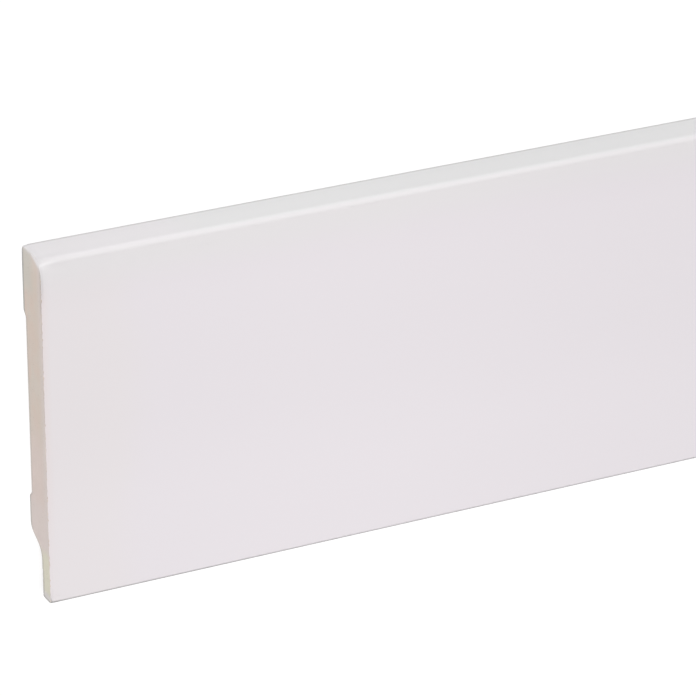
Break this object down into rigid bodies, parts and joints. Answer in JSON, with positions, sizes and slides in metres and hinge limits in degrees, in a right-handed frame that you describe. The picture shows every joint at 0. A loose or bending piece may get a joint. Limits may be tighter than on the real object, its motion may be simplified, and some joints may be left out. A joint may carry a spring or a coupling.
{
  "type": "skirting board length",
  "caption": "Straight length of square-faced skirting board in white-faced fibreboard, with a hollow back and a rebate behind the foot for a cable.",
  "frame": {"origin": "centre of the back, on the plane of the two lands that touch the wall; the board lies on this back", "axes": "+X along the length, +Y towards the edge that is the top edge on a wall, +Z out of the front face"},
  "size_m": [2.4, 0.12, 0.015],
  "materials": {
    "white_face": "satin white film on the front, the top edge and the foot",
    "bare_fibreboard": "bare sawn and planed fibreboard on the ends and the back"
  },
  "bodies": {
    "root": {"skirting_board": "white_face"}
  },
  "joints": []
}
